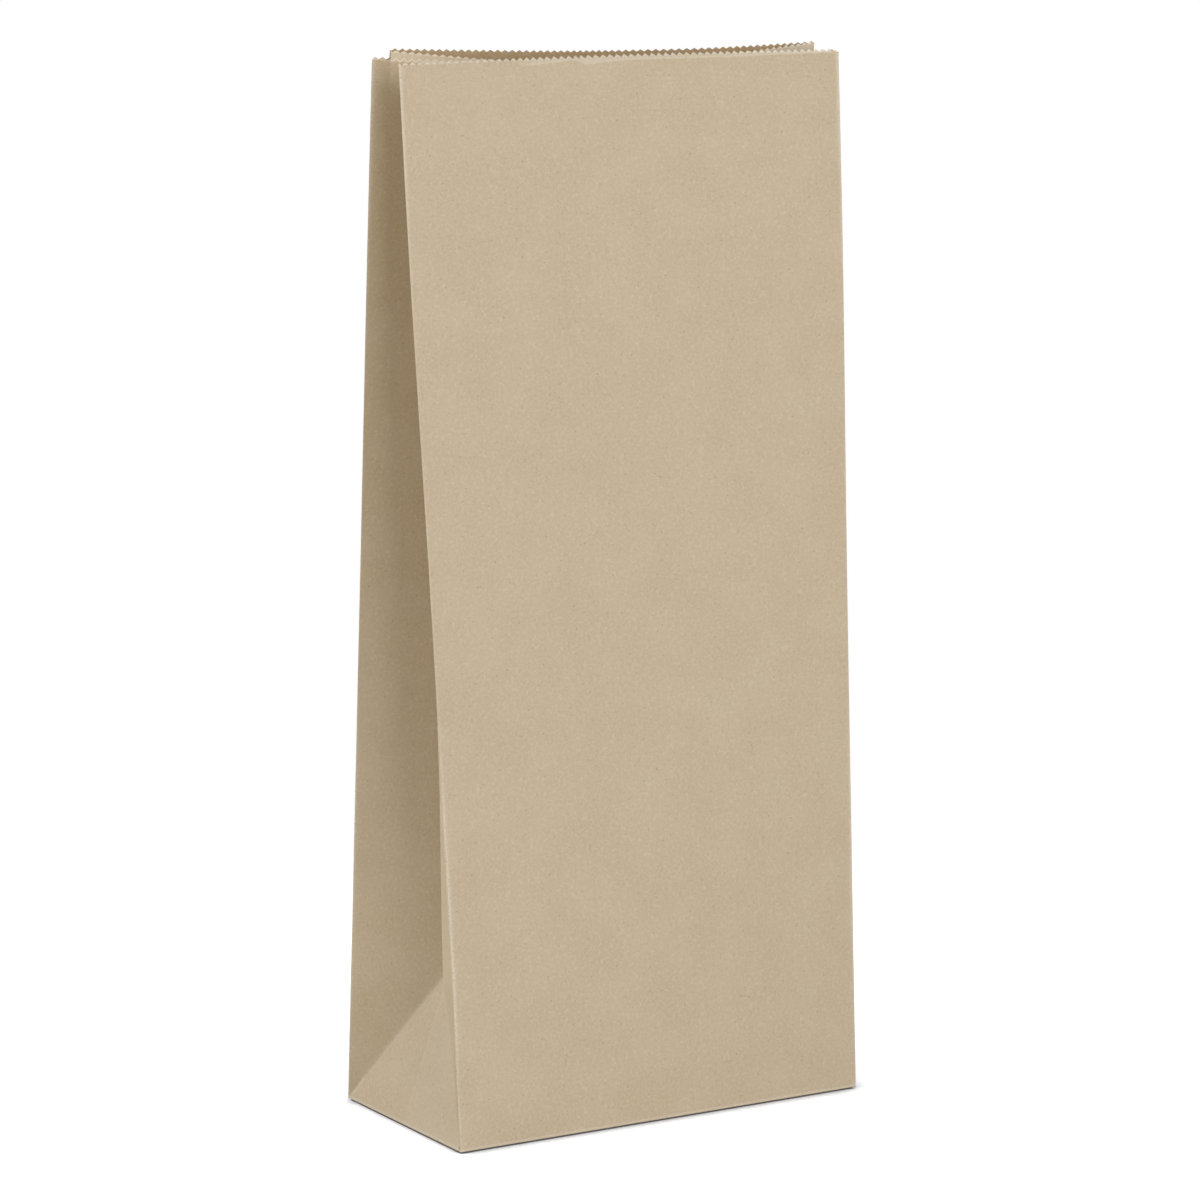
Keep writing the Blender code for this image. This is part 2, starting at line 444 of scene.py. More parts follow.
@dataclass
class ToothCut:
    """The cut edge of each panel: small teeth, and the raised lip on the back layers."""

    sizes: BagSizes

    def lip_range(self, panel: Panel) -> Pair | None:
        """The stretch of a panel that stands up as the lip.

        Args:
            panel: The panel that is cut.

        Returns:
            The stretch's two distances from the panel's fold, or None where the cut is low.
        """
        s = self.sizes
        if panel.edge == "front":
            return None
        if not panel.is_half:
            return s.lip_inset_left, s.panel_width - s.lip_inset_right
        return s.lip_inset_left if panel.side == "left" else s.lip_inset_right, math.inf

    def low_peak(self, panel: Panel) -> float:
        """Distance of a tooth's peak on a back layer's low stretch, beside its fold."""
        return 0.0 if panel is Panel.RIGHT_BACK_HALF else self.sizes.tooth_pitch / 2

    def places(self, panel: Panel, low: float, high: float) -> list[float]:
        """Where the cut's line turns.

        Args:
            panel: The panel that is cut.
            low: The least distance from the panel's fold.
            high: The greatest one.

        Returns:
            The distances of all peaks, valleys and lip ends between the two.
        """
        s, lip, found = self.sizes, self.lip_range(panel), []
        step = s.tooth_pitch / 2
        stretches = [(low, high, 0.0)]
        if lip:
            stretches = [
                (low, min(lip[0], high), self.low_peak(panel)),
                (max(lip[0], low), min(lip[1], high), lip[0] + s.lip_first_peak),
            ]
            if lip[1] < high:
                stretches.append((lip[1], high, s.panel_width))
            ends = [end + way * s.lip_step for end in lip for way in (-1, 1)]
            found = [end for end in ends if low < end < high]
        for start, end, peak in stretches:
            index = math.ceil((start + step / 4 - peak) / step)
            while peak + index * step < end - step / 4:
                found.append(peak + index * step)
                index += 1
        return found

    def rise(self, panel: Panel, distance: Array) -> tuple[Array, Array]:
        """Height of the cut over the low line.

        Args:
            panel: The panel that is cut.
            distance: Distances from the fold that the panel is measured from.

        Returns:
            The lip's rise at each distance, and the tooth's.
        """
        s, lip = self.sizes, self.lip_range(panel)
        peak, rise = np.zeros(len(distance)), np.zeros(len(distance))
        if lip:
            raised = (distance > lip[0]) & (distance < lip[1])
            after = distance >= lip[1]
            peak[:] = self.low_peak(panel)
            peak[raised] = lip[0] + s.lip_first_peak
            peak[after] = s.panel_width
            if panel is not Panel.RIGHT_BACK_HALF:
                rise = s.low_rise * smooth_step(0.0, s.low_rise_reach, distance)
            rise[after] = 0.0
            rise[raised] = s.lip_rise
        phase = ((distance - peak) / s.tooth_pitch) % 1.0
        depth = s.front_tooth_depth if panel.edge == "front" else s.tooth_depth
        return rise, depth * (np.abs(phase - 0.5) * 2 - 0.5)


@dataclass
class FoldedSheet:
    """The folded sheet of paper, from its glued seam round to the lap."""

    form: BagForm
    sizes: SheetSizes = field(default_factory=SheetSizes)
    tone: HandledTone = field(default_factory=HandledTone)
    cut: ToothCut = field(init=False)
    strips: list[Strip] = field(init=False, default_factory=list)

    def __post_init__(self) -> None:
        """Lays the panels' strips out in order."""
        s, sizes = self.form.sizes, self.sizes
        self.cut = ToothCut(s)
        width, half = s.panel_width, s.half
        plan = (
            (Panel.BACK_FROM_SEAM, width - sizes.seam_place, width - sizes.seam_place, -1),
            (Panel.LEFT_BACK_HALF, half, 0.0, 1),
            (Panel.LEFT_FRONT_HALF, half, half, -1),
            (Panel.FRONT, width, 0.0, 1),
            (Panel.RIGHT_FRONT_HALF, half, 0.0, 1),
            (Panel.RIGHT_BACK_HALF, half, half, -1),
            (Panel.BACK_TO_SEAM, sizes.seam_place + sizes.seam_lap, width, -1),
        )
        start = 0.0
        for panel, length, first, sign in plan:
            self.strips.append(Strip(panel, start, length, first, sign))
            start += length

    def split(self, girth: Array) -> Iterator[tuple[Strip, Array, Array]]:
        """The strips that hold some of these places.

        Args:
            girth: Places round the sheet.

        Yields:
            A strip, which of the places lie in it, and their distances from its fold.
        """
        for strip in self.strips:
            inside = strip.holds(girth)
            if inside.any():
                yield strip, inside, strip.distance(girth[inside])

    def part(self, panel: Panel, girth: Array) -> tuple[Array, Array]:
        """The places that lie in one panel.

        Args:
            panel: The panel.
            girth: Places round the sheet.

        Returns:
            Which of the places lie in it, and their distances from its fold.
        """
        strip = next(item for item in self.strips if item.panel is panel)
        inside = strip.holds(girth)
        return inside, strip.distance(girth[inside])

    def columns(self) -> Array:
        """Places round the sheet that get a column of the grid.

        Returns:
            The places, in order.
        """
        found: list[float] = []
        for strip in self.strips:
            low, high = sorted((strip.first, strip.first + strip.sign * strip.length))
            found += [strip.place(place) for place in self.cut.places(strip.panel, low, high)]
            for gap in self.sizes.column_gaps:
                found += [strip.start + gap, strip.start + strip.length - gap]
        found.sort()
        kept = [found[0]]
        for place in found[1:]:
            if place - kept[-1] > self.sizes.least_gap:
                kept.append(place)
        return np.array(kept)

    def rows(self) -> Array:
        """Heights of the rows below the cut edge's own rows.

        Returns:
            The heights, in order.
        """
        s, sizes = self.form.sizes, self.sizes
        step = s.tooth_pitch / 2
        foot = [sizes.base_radius * share for share in sizes.foot_rows]
        base = [s.apex_height * row * step / s.half for row in range(1, int(s.half / step) + 1)]
        last = s.fold_height - s.crease_drop - (sizes.edge_gaps[-1] + sizes.body_margin)
        return np.array(foot + base + list(np.linspace(s.apex_height, last, sizes.body_rows)))

    def height_grid(self, girth: Array) -> tuple[Array, Array]:
        """Height of every grid point, with the top rows following the cut edge.

        Args:
            girth: The columns' places round the sheet.

        Returns:
            Heights by row and column, and the middle line of the cut by column.
        """
        s, sizes = self.form.sizes, self.sizes
        low, lip, tooth = np.zeros((3, len(girth)))
        for strip, inside, distance in self.split(girth):
            panel = strip.panel
            lip[inside], tooth[inside] = self.cut.rise(panel, distance)
            if panel.is_half:
                fold_top = self.form.mouth[f"{panel.edge}_{panel.side}"][2]
                level = fold_top - s.crease_drop * distance / s.half
            else:
                level = self.form.cut_height(panel.edge, distance / s.panel_width)
            if panel is Panel.FRONT:
                reach = s.panel_width - sizes.corner_reach
                level -= sizes.corner_drop * smooth_step(reach, s.panel_width, distance)
            elif panel is Panel.RIGHT_FRONT_HALF:
                level -= sizes.corner_drop * smooth_step(sizes.corner_reach, 0.0, distance)
            low[inside] = level
        rows = [np.full(len(girth), height) for height in self.rows()]
        for gap in reversed(sizes.edge_gaps):
            rows.append(low - gap + lip * (1 - smooth_step(*sizes.lip_fade, gap)))
        rows.append(low + lip + tooth)
        return np.array(rows), low + lip

    def plain_place(self, girth: Array, height: Array) -> Array:
        """Points of the sheet with sharp folds.

        Args:
            girth: Places round the sheet.
            height: Heights above the table.

        Returns:
            One point for each place and height.
        """
        points = np.zeros((len(girth), 3))
        for strip, inside, distance in self.split(girth):
            panel, level = strip.panel, height[inside]
            if panel.is_half:
                points[inside] = self.form.gusset_half(panel.side, panel.edge, distance, level)
            else:
                points[inside] = self.form.panel(panel.edge, distance, level)
        points[:, 2] = height
        return points

    def rounded_place(self, girth: Array, height: Array) -> Array:
        """Points of the sheet with its long folds slightly rounded.

        Args:
            girth: Places round the sheet.
            height: Heights above the table.

        Returns:
            One point for each place and height.
        """
        points = self.plain_place(girth, height)
        radius = self.sizes.fold_radius
        for strip in self.strips[1:]:
            near = np.abs(girth - strip.start) < radius
            if not near.any():
                continue
            before, corner, after = (
                self.plain_place(np.full(int(near.sum()), strip.start + off), height[near])
                for off in (-radius, 0.0, radius)
            )
            share = ((girth[near] - strip.start) / radius + 1)[:, None] / 2
            bend = (1 - share) ** 2 * before + 2 * share * (1 - share) * corner
            points[near] = bend + share**2 * after
        return points

    def fold_distance(self, girth: Array, creases: bool | None = None) -> Array:
        """Distance over the paper to the nearest long fold.

        Args:
            girth: Places round the sheet.
            creases: True for the gussets' centre creases, False for the corners, None for both.

        Returns:
            One distance for each place.
        """
        after_crease = (Panel.LEFT_FRONT_HALF, Panel.RIGHT_BACK_HALF)
        folds = [
            strip.start for strip in self.strips[1:]
            if creases is None or (strip.panel in after_crease) == creases
        ]
        return np.min(np.abs(girth[:, None] - np.array(folds)[None, :]), axis=1)

    def diagonal_distance(self, girth: Array, height: Array, edge: str | None = None) -> Array:
        """Distance over the paper to the nearest edge of a bottom triangle.

        Args:
            girth: Places round the sheet.
            height: Heights above the table.
            edge: "front" or "back" for those edges alone.

        Returns:
            One distance for each place and height.
        """
        s = self.form.sizes
        nearest = np.full(len(girth), FAR)
        steep = math.hypot(s.half, s.apex_height)
        for strip, inside, distance in self.split(girth):
            if strip.panel.is_half and edge in (None, strip.panel.edge):
                across = np.abs(distance * s.apex_height - height[inside] * s.half) / steep
                beyond = np.maximum(height[inside] - s.apex_height, 0.0)
                nearest[inside] = np.hypot(across, beyond)
        return nearest

    def band_distance(self, girth: Array, gap: Array) -> Array:
        """How far a place lies below the front panel's bent top margin.

        Args:
            girth: Places round the sheet.
            gap: Their distances below the middle line of the cut.

        Returns:
            One distance for each place, below zero inside the margin.
        """
        below = np.full(len(girth), FAR)
        inside, distance = self.part(Panel.FRONT, girth)
        width = np.interp(distance, self.sizes.band_places, self.sizes.band_widths)
        below[inside] = np.where(width > 0.0, gap[inside] - width, FAR)
        return below

    def lip_distances(self, girth: Array, height: Array, gap: Array) -> tuple[Array, Array]:
        """Distances to what is on the gussets' raised lips.

        Args:
            girth: Places round the sheet.
            height: Heights above the table.
            gap: Distances below the middle line of the cut.

        Returns:
            How far each place lies below the lip, and how far over the zigzag that the knife
            pressed into the left one.
        """
        s, sizes = self.form.sizes, self.sizes
        below, over = np.full((2, len(girth)), FAR)
        for panel in (Panel.LEFT_BACK_HALF, Panel.RIGHT_BACK_HALF):
            inside, distance = self.part(panel, girth)
            raised = distance > self.cut.lip_range(panel)[0]
            below[inside] = np.where(raised, gap[inside] - s.lip_rise, FAR)
        inside, distance = self.part(Panel.LEFT_BACK_HALF, girth)
        drop = sizes.mark_height * s.crease_drop * distance / s.half
        phase = ((distance - s.lip_inset_left - s.lip_first_peak) / s.tooth_pitch) % 1.0
        zigzag = sizes.mark_depth * (np.abs(phase - 0.5) * 2 - 0.5)
        line = self.form.mouth["back_left"][2] - drop + zigzag
        over[inside] = np.where(distance > s.lip_inset_left, height[inside] - line, FAR)
        return below, over

    def tones(self, girth: Array, height: Array) -> tuple[Array, Array]:
        """Masks for painted shade: on the gussets over the bottom triangles, and on the strip
        beside the left front fold.

        Args:
            girth: Places round the sheet.
            height: Heights above the table.

        Returns:
            1 on the gussets, which get a browner painted bounce tint, and 0 elsewhere; and how much
            painted shade darkens each place on the left gusset's front half, or painted light pales
            its triangle, below zero.
        """
        s, tone = self.form.sizes, self.tone
        gusset, amount = np.zeros((2, len(girth)))
        for strip, inside, distance in self.split(girth):
            level = height[inside]
            over = level - distance * s.apex_height / s.half
            if strip.panel.is_half:
                gusset[inside] = over > TINY
            if strip.panel is Panel.LEFT_FRONT_HALF:
                fade = 1.0 - smooth_step(s.apex_height, tone.end, level)
                fade = smooth_step(0.0, tone.start, level) * fade
                span = (share * s.apex_height for share in tone.foot_span)
                dark = (tone.strip + tone.foot * (1.0 - smooth_step(*span, level))) * fade
                amount[inside] = np.where(over > -TINY, dark, tone.triangle)
        return gusset, amount

    def pinhole(self) -> Pair:
        """Flat place, in millimetres, of the tiny hole low beside the left front fold."""
        fold = next(strip.start for strip in self.strips if strip.panel is Panel.FRONT)
        return (fold - self.sizes.pinhole[0]) / MM, self.sizes.pinhole[1] / MM

    def shape(self, girth: Array, height: Array, gap: Array) -> Array:
        """Points of the finished fold, with its rounding, ripples, lap and bent margin.

        Args:
            girth: Places round the sheet.
            height: Heights above the table.
            gap: Distances below the middle line of the cut.

        Returns:
            One point for each place and height.
        """
        sizes = self.sizes
        points = self.rounded_place(girth, height)
        total = self.strips[-1].start + self.strips[-1].length
        before, after = (
            self.rounded_place(np.clip(girth + step, 0.0, total), height)
            for step in (-sizes.side_step, sizes.side_step)
        )
        along = after - before
        outward = unit(np.stack((along[:, 1], -along[:, 0], np.zeros(len(along))), axis=1))
        free = smooth_step(*sizes.ripple_free, self.fold_distance(girth))
        free *= smooth_step(*sizes.ripple_above_base, height)
        free *= smooth_step(*sizes.ripple_off_diagonal, self.diagonal_distance(girth, height))
        offset = np.zeros(len(girth))
        for wave in RIPPLES:
            offset += wave.weight * np.sin(girth * wave.across + height * wave.up + wave.phase)
        offset = offset * sizes.ripple * free
        lap_start = total - sizes.seam_lap
        lap = smooth_step(lap_start - sizes.seam_step, lap_start, girth)
        offset += lap * sizes.paper * sizes.seam_rise
        low = np.maximum(sizes.base_radius - height, 0.0)
        offset -= sizes.base_radius - np.sqrt(np.maximum(sizes.base_radius**2 - low**2, 0.0))
        points += outward * offset[:, None]
        points[:, 2] += sizes.base_lift
        inside, distance = self.part(Panel.FRONT, girth)
        over = np.maximum(-self.band_distance(girth, gap)[inside], 0.0)
        over *= smooth_step(*sizes.band_start, distance)
        points[inside, 1] += over * math.tan(sizes.band_tilt)
        return points

    def write_maps(self, mesh: bpy.types.Mesh, girth: Array, height: Array, gap: Array) -> None:
        """Stores the flat sheet's coordinates, and the distances and painted shade masks that the
        finish reads.

        Args:
            mesh: The sheet's mesh.
            girth: Its vertices' places round the sheet.
            height: Their heights above the table.
            gap: Their distances below the middle line of the cut.
        """
        loops = np.empty(len(mesh.loops), int)
        mesh.loops.foreach_get("vertex_index", loops)
        flat = np.stack((girth, height), axis=1)[loops] / FLAT_SCALE
        mesh.uv_layers.active.data.foreach_set("uv", flat.ravel())
        lip, mark = self.lip_distances(girth, height, gap)
        distances = {
            "fold": self.fold_distance(girth, False),
            "crease": self.fold_distance(girth, True),
            "back_diagonal": self.diagonal_distance(girth, height, "back"),
            "edge": gap,
            "base": height,
            "mark": mark,
            "band": self.band_distance(girth, gap),
            "lip": lip,
        }
        for name in DISTANCES:
            store(mesh, name, np.minimum(distances[name], FAR) / MM)
        gusset, shade = self.tones(girth, height)
        store(mesh, "shade", shade)
        store(mesh, "gusset", gusset)

    def thin_folds(self, sheet: bpy.types.Object, column: Array, columns: Array) -> None:
        """Weights the wall so that its inner side stays inside the sharp folds.

        Args:
            sheet: The sheet.
            column: Its vertices' columns.
            columns: The columns' places round the sheet.
        """
        group = sheet.vertex_groups.new(name="wall_share")
        least = self.sizes.wall_least
        free = smooth_step(*self.sizes.wall_span, self.fold_distance(columns))
        for index, weight in enumerate(least + (1.0 - least) * free):
            group.add(np.nonzero(column == index)[0].tolist(), float(weight), "REPLACE")

    def split_diagonals(self, mesh: Any, spot: Array, columns: Array, levels: Array) -> None:
        """Splits each quad that a bottom triangle's edge crosses, along that edge.

        Args:
            mesh: The sheet's mesh.
            spot: Its vertices by row and column.
            columns: The columns' places round the sheet.
            levels: The rows' heights.
        """
        s = self.form.sizes
        pairs = []
        for strip in self.strips:
            if not strip.panel.is_half:
                continue
            end = strip.start + strip.length + TINY
            inside = np.nonzero((columns > strip.start - TINY) & (columns < end))[0]
            wanted = strip.distance(columns[inside]) * s.apex_height / s.half
            match = np.abs(levels[:, None] - wanted[None, :]).argmin(axis=0)
            close = np.abs(levels[match] - wanted) < ON_LINE
            line = list(zip(match[close], inside[close]))
            for (r0, c0), (r1, c1) in zip(line, line[1:]):
                if abs(c0 - c1) == 1 and abs(r0 - r1) == 1:
                    pairs.append((spot[r0, c0], spot[r1, c1]))
        work = bmesh.new()
        work.from_mesh(mesh)
        work.verts.ensure_lookup_table()
        for pair in pairs:
            bmesh.ops.connect_verts(work, verts=[work.verts[index] for index in pair])
        work.to_mesh(mesh)
        work.free()
        LOG.info("folded_sheet: %d quads split along the bottom creases", len(pairs))

    def build(self) -> bpy.types.Object:
        """Folds a flat grid into the bag and gives it the paper's thickness.

        Returns:
            The finished sheet.
        """
        columns = self.columns()
        heights, top = self.height_grid(columns)
        row_count, column_count = heights.shape
        sheet = add_grid("folded_sheet", column_count - 1, row_count - 1)
        mesh = sheet.data
        flat = np.empty(len(mesh.vertices) * 3)
        mesh.vertices.foreach_get("co", flat)
        flat = flat.reshape(-1, 3)
        column = np.rint((flat[:, 0] + 0.5) * (column_count - 1)).astype(int)
        row = np.rint((flat[:, 1] + 0.5) * (row_count - 1)).astype(int)
        spot = np.empty(heights.shape, int)
        spot[row, column] = np.arange(len(column))
        girth, height = columns[column], heights[row, column]
        gap = top[column] - height
        mesh.vertices.foreach_set("co", self.shape(girth, height, gap).ravel())
        self.write_maps(mesh, girth, height, gap)
        self.split_diagonals(mesh, spot, columns, heights[:, 0])
        self.thin_folds(sheet, column, columns)
        finish_sheet(sheet, self.sizes.paper)
        LOG.info("folded_sheet: %d columns, %d rows", column_count, row_count)
        return sheet


def store(mesh: bpy.types.Mesh, name: str, values: Array) -> None:
    """Stores a number for each vertex, for the finish to read."""
    mesh.attributes.new(name, "FLOAT", "POINT").data.foreach_set("value", values.astype(np.float32))


def add_grid(name: str, across: int, along: int) -> bpy.types.Object:
    """Adds a flat grid that is one metre wide and long.

    Args:
        name: The piece's name.
        across: How many cells it has along X.
        along: How many it has along Y.

    Returns:
        The grid.
    """
    bpy.ops.object.select_all(action="DESELECT")
    bpy.ops.mesh.primitive_grid_add(x_subdivisions=across, y_subdivisions=along, size=1.0)
    piece = bpy.context.object
    piece.name = piece.data.name = name
    return piece


def finish_sheet(piece: bpy.types.Object, thickness: float) -> None:
    """Gives a sheet the paper's thickness on its inner side, and shades its folds smoothly.

    Args:
        piece: The sheet, which is its own outer side.
        thickness: Thickness of the paper.
    """
    outer_count = len(piece.data.vertices)
    wall = piece.modifiers.new("paper_thickness", "SOLIDIFY")
    wall.thickness, wall.offset = thickness, -1.0
    wall.use_even_offset, wall.thickness_clamp = False, 0.0
    if piece.vertex_groups:
        wall.vertex_group = piece.vertex_groups[0].name
        wall.thickness_vertex_group = 0.0
    bpy.ops.object.select_all(action="DESELECT")
    piece.select_set(True)
    bpy.context.view_layer.objects.active = piece
    bpy.ops.object.modifier_apply(modifier=wall.name)
    store(piece.data, "inner", np.arange(len(piece.data.vertices)) >= outer_count)
    bpy.ops.object.shade_smooth_by_angle(angle=FOLD_ANGLE)


@dataclass
class BlockBottom:
    """The floor of the bag and the two glued flaps under it, on which it stands."""

    form: BagForm
    paper: float = 0.00018
    lift: float = 0.00040
    inset: float = 0.0006
    flap_inset: float = 0.0040
    lap: float = 0.0140
    cells: int = 20
    pattern_place: Pair = (3.0, 5.0)

    def outline(self, inset: float) -> list[Array]:
        """The base's corners, moved in.

        Args:
            inset: How far they move in.

        Returns:
            The corners, from the front left round to the back left.
        """
        names = ("front_left", "front_right", "back_right", "back_left")
        ways = zip(names, (1, -1, -1, 1), (1, 1, -1, -1))
        return [self.form.base[name] + inset * np.array((x, y, 0)) for name, x, y in ways]

    def sheet(
        self, name: str, corners: list[Array], height: float, thickness: float
    ) -> bpy.types.Object:
        """A flat sheet between four corners.

        Args:
            name: The piece's name.
            corners: Front left, front right, back right and back left.
            height: Height of its upper side.
            thickness: Thickness below that.

        Returns:
            The finished sheet.
        """
        piece = add_grid(name, self.cells, self.cells)
        mesh = piece.data
        for vertex in mesh.vertices:
            across, along = vertex.co.x + 0.5, vertex.co.y + 0.5
            front = corners[0] + (corners[1] - corners[0]) * across
            back = corners[3] + (corners[2] - corners[3]) * across
            point = front + (back - front) * along
            vertex.co = (point[0], point[1], height)
        right, up = self.pattern_place
        layer = mesh.uv_layers.active.data
        for loop in mesh.loops:
            point = mesh.vertices[loop.vertex_index].co
            layer[loop.index].uv = (point.x / FLAT_SCALE + right, point.y / FLAT_SCALE + up)
        for distance in DISTANCES:
            store(mesh, distance, np.full(len(mesh.vertices), FAR / MM))
        finish_sheet(piece, thickness)
        return piece

    def build(self) -> list[bpy.types.Object]:
        """Lays the floor inside the bag, and the back and front flaps under it.

        Returns:
            The three sheets.
        """
        level = self.lift / 2
        a, b, c, d = self.outline(self.flap_inset)
        reach = (1 + self.lap / (d[1] - a[1])) / 2
        left_way, right_way = (d - a) * reach, (c - b) * reach
        plan = (
            ("bottom_floor", self.outline(self.inset), self.lift + self.paper, self.paper),
            ("bottom_back_flap", [d - left_way, c - right_way, c, d], self.lift, level),
            ("bottom_front_flap", [a, b, b + right_way, a + left_way], level, level),
        )
        LOG.info("bottom: floor and two flaps")
        return [self.sheet(*row) for row in plan]


class Value:
    """A shader socket that can be used in Python sums."""

    def __init__(self, nodes: "Nodes", socket: Any) -> None:
        """Keeps the node tree and the socket, or a plain number."""
        self.nodes = nodes
        self.socket = socket

    def maths(self, operation: str, *others: Any) -> "Value":
        """A Math node on this value and others."""
        return self.nodes.add("ShaderNodeMath", {"operation": operation}, (self, *others))

    def __add__(self, other: Any) -> "Value":
        """Sum."""
        return self.maths("ADD", other)

    __radd__ = __add__

    def __mul__(self, other: Any) -> "Value":
        """Product."""
        return self.maths("MULTIPLY", other)

    __rmul__ = __mul__

    def __sub__(self, other: Any) -> "Value":
        """Difference."""
        return self.maths("SUBTRACT", other)

    def __rsub__(self, other: Any) -> "Value":
        """Difference, the other way round."""
        return Value(self.nodes, other).maths("SUBTRACT", self)

    def __truediv__(self, other: Any) -> "Value":
        """Quotient."""
        return self.maths("DIVIDE", other)

    def __rtruediv__(self, other: Any) -> "Value":
        """Quotient, the other way round."""
        return Value(self.nodes, other).maths("DIVIDE", self)

    def __neg__(self) -> "Value":
        """The same value below zero."""
        return self * -1.0

    def between(self, low: float, high: float, rise: str = "SMOOTHSTEP") -> "Value":
        """A rise from 0 to 1, or a fall where low is above high.

        Args:
            low: The value that gives 0.
            high: The value that gives 1.
            rise: The kind of rise.

        Returns:
            The share.
        """
        inputs = {"Value": self, "From Min": low, "From Max": high}
        if low > high:
            inputs |= {"From Min": high, "From Max": low, "To Min": 1.0, "To Max": 0.0}
        return self.nodes.add("ShaderNodeMapRange", {"interpolation_type": rise}, inputs)


class Nodes:
    """The node tree of a material or a world, with one method for any node."""

    def __init__(self, owner: bpy.types.Material | bpy.types.World) -> None:
        """Empties the owner's tree.

        Args:
            owner: The material or world.
        """
        owner.use_nodes = True
        self.owner, self.tree = owner, owner.node_tree
        self.tree.nodes.clear()

    def add(
        self, kind: str, settings: dict[str, Any] | None = None, inputs: Any = (), output: Any = 0
    ) -> Value:
        """Adds a node.

        Args:
            kind: The node's type.
            settings: Its properties.
            inputs: Values, numbers or colours, in the order of its sockets or by name.
            output: Which output is returned, by number or name.

        Returns:
            The node's output.
        """
        node = self.tree.nodes.new(kind)
        for key, value in (settings or {}).items():
            setattr(node, key, value)
        for key, value in inputs.items() if isinstance(inputs, dict) else enumerate(inputs):
            source = value.socket if isinstance(value, Value) else value
            if isinstance(source, bpy.types.NodeSocket):
                self.tree.links.new(source, node.inputs[key])
            else:
                node.inputs[key].default_value = source
        return Value(self, node.outputs[output] if node.outputs else None)

    def mix(self, share: Any, first: Any, second: Any, blend_type: str = "MIX") -> Value:
        """Mixes two colours by a share."""
        settings = {"data_type": "RGBA", "blend_type": blend_type}
        return self.add("ShaderNodeMix", settings, {0: share, 6: first, 7: second}, 2)

    def vector(self, operation: str, inputs: Any, output: Any = 0) -> Value:
        """A Vector Math node."""
        return self.add("ShaderNodeVectorMath", {"operation": operation}, inputs, output)

    def stored(self, name: str) -> Value:
        """A number that is stored on the piece."""
        return self.add("ShaderNodeAttribute", {"attribute_name": name}, (), "Fac")

    def place(self) -> Value:
        """The place on the piece, in its own coordinates."""
        return self.add("ShaderNodeTexCoord", {}, (), "Object")


def linear(*channels: float) -> Colour:
    """A colour given in sRGB, from 0 to 255, in the renderer's linear values."""
    red, green, blue = (((value / 255 + 0.055) / 1.055) ** 2.4 for value in channels)
    return red, green, blue, 1.0


@dataclass(frozen=True)
class Wear:
    """Where the paper is pale: its long folds rubbed pale with a soft painted highlight beside
    them, pale creases, the knife's zigzag drawn as a painted highlight, a rubbed bottom edge with a
    painted highlight, and painted highlights on the cut edges, the bent front margin and the lips.
    Widths are in millimetres, and the rest are shares.
    """

    fold_width: float = 0.66
    fold_plain: float = 0.20
    fold_low: float = 0.46
    fold_high: float = 0.40
    fold_slip: float = 0.40
    soft_fold: Pair = (1.7, 0.15)
    low_span: Pair = (125.0, 75.0)
    foot_span: Pair = (12.0, 45.0)
    foot_least: float = 0.30
    high_span: Pair = (205.0, 285.0)
    diagonal: Pair = (0.34, 0.60)
    crease: Pair = (0.24, 0.14)
    rim_span: Pair = (0.50, 0.10)
    rim: float = 0.26
    rim_ends: float = 0.46
    rim_end_span: Pair = (0.022, 0.045)
    base_span: Pair = (1.1, 0.7)
    base: float = 0.30
    mark_span: Pair = (0.26, 0.10)
    mark: float = 0.90
    band_span: Pair = (0.06, -0.06)
    band: float = 0.34
    band_line: Pair = (0.12, 0.26)
    band_side: Pair = (-0.036, -0.020)
    lip_span: Pair = (0.15, -0.15)
    lip: float = 0.24
    spots: Pair = (0.26, 0.54)
    steady: float = 0.7

    def share(self, nodes: Nodes, height: Value, grain: Value, outside: Value) -> Value:
        """How pale each place is: rubbed folds, pale creases and the knife's mark, and painted
        highlights beside the folds, on the cut edges, the base, the bent margin and the lips.

        Args:
            nodes: The material's nodes.
            height: Height on the flat sheet, in millimetres.
            grain: Fine noise that breaks the pale marks up.
            outside: 1 on the paper's outer side.

        Returns:
            A share from 0 to 1.
        """
        def line(name: str, width: float, strength: Any = 1.0, offset: Any = 0.0) -> Value:
            """A soft pale line along a stored distance."""
            share = (nodes.stored(name) - offset) / width
            return (-(share * share)).maths("EXPONENT") * strength

        foot = self.foot_least + height.between(*self.foot_span) * (1 - self.foot_least)
        low = height.between(*self.low_span) * foot
        high = height.between(*self.high_span)
        pale = self.fold_plain + low * self.fold_low + high * self.fold_high
        folds = line("fold", self.fold_width, pale, high * self.fold_slip)
        # A soft painted highlight beside the folds, low on the bag.
        folds += line("fold", self.soft_fold[0], low * self.soft_fold[1])
        folds += line("back_diagonal", *self.diagonal) + line("crease", *self.crease)
        across = nodes.add("ShaderNodeSeparateXYZ", {}, {"Vector": nodes.place()}, "X")
        # Painted highlight on the cut edges' rims, stronger towards both sides of the bag.
        ends = across.maths("ABSOLUTE").between(*self.rim_end_span)
        edges = nodes.stored("edge").between(*self.rim_span) * (self.rim + ends * self.rim_ends)
        # The bottom edge, rubbed and with a painted highlight.
        edges += nodes.stored("base").between(*self.base_span) * self.base
        # The knife's zigzag on the left lip, drawn as a painted highlight.
        edges += nodes.stored("mark").maths("ABSOLUTE").between(*self.mark_span) * self.mark
        # Painted highlight on the front's bent top margin.
        band = nodes.stored("band").between(*self.band_span) * self.band
        band += line("band", *self.band_line)
        edges += band * across.between(*self.band_side)
        # Painted highlight on the gussets' raised lips.
        edges += nodes.stored("lip").between(*self.lip_span) * self.lip
        spotty = grain.between(*self.spots)
        total = folds * spotty + edges * (self.steady + spotty * (1 - self.steady))
        return (total * outside).maths("MINIMUM", 1.0)


